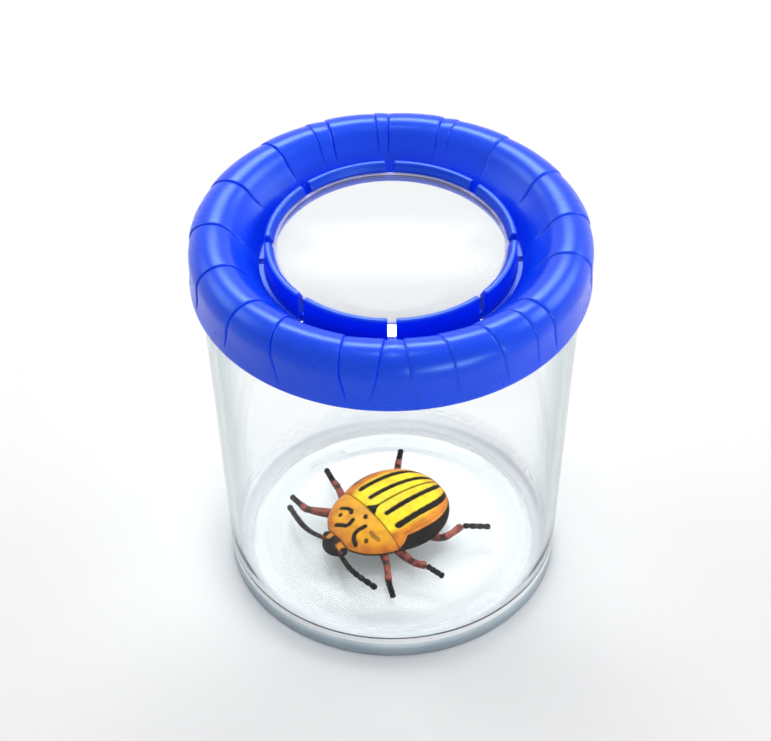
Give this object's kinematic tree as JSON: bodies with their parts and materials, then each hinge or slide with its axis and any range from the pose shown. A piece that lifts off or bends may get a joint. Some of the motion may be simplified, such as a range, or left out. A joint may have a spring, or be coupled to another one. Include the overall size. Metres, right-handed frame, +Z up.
{
  "type": "bug catcher jar",
  "caption": "Clear tapered specimen jar with a blue push-on ring lid that clips round a magnifying lens, for watching small insects, with a striped toy beetle inside.",
  "frame": {"origin": "centre of the jar's foot, on the surface it stands on", "axes": "+Z up along the jar's axis, -Y towards the front of the picture, +X to its right"},
  "size_m": [0.087, 0.087, 0.0954],
  "materials": {
    "clear_plastic": "clear, gloss",
    "blue_plastic": "satin gloss",
    "lens_plastic": "clear, polished",
    "beetle_yellow": "painted, black stripes, satin",
    "beetle_amber": "painted, black marks, satin",
    "beetle_black": "painted, satin",
    "beetle_dark": "painted, matt",
    "beetle_rust": "painted, satin"
  },
  "bodies": {
    "jar": {"jar_body": "clear_plastic"},
    "lid": {"lid_cap": "blue_plastic", "lens": "lens_plastic"},
    "beetle": {"beetle_antenna_left": "beetle_black", "beetle_antenna_right": "beetle_black", "beetle_belly": "beetle_dark", "beetle_eye_left": "beetle_black", "beetle_eye_right": "beetle_black", "beetle_foot_front_left": "beetle_black", "beetle_foot_front_right": "beetle_black", "beetle_foot_hind_left": "beetle_black", "beetle_foot_hind_right": "beetle_black", "beetle_foot_middle_left": "beetle_black", "beetle_foot_middle_right": "beetle_black", "beetle_head": "beetle_black", "beetle_leg_front_left": "beetle_rust", "beetle_leg_front_right": "beetle_rust", "beetle_leg_hind_left": "beetle_rust", "beetle_leg_hind_right": "beetle_rust", "beetle_leg_middle_left": "beetle_rust", "beetle_leg_middle_right": "beetle_rust", "beetle_scutellum": "beetle_black", "beetle_shield": "beetle_amber", "beetle_wing_case_left": "beetle_yellow", "beetle_wing_case_right": "beetle_yellow"}
  },
  "joints": [
    {"name": "lid_lift", "type": "slide", "parent": "jar", "child": "lid", "axis": [0, 0, 1], "range_m": [0, 0.08]},
    {"name": "beetle_lift", "type": "slide", "parent": "jar", "child": "beetle", "axis": [0, 0, 1], "range_m": [0, 0.055]}
  ]
}
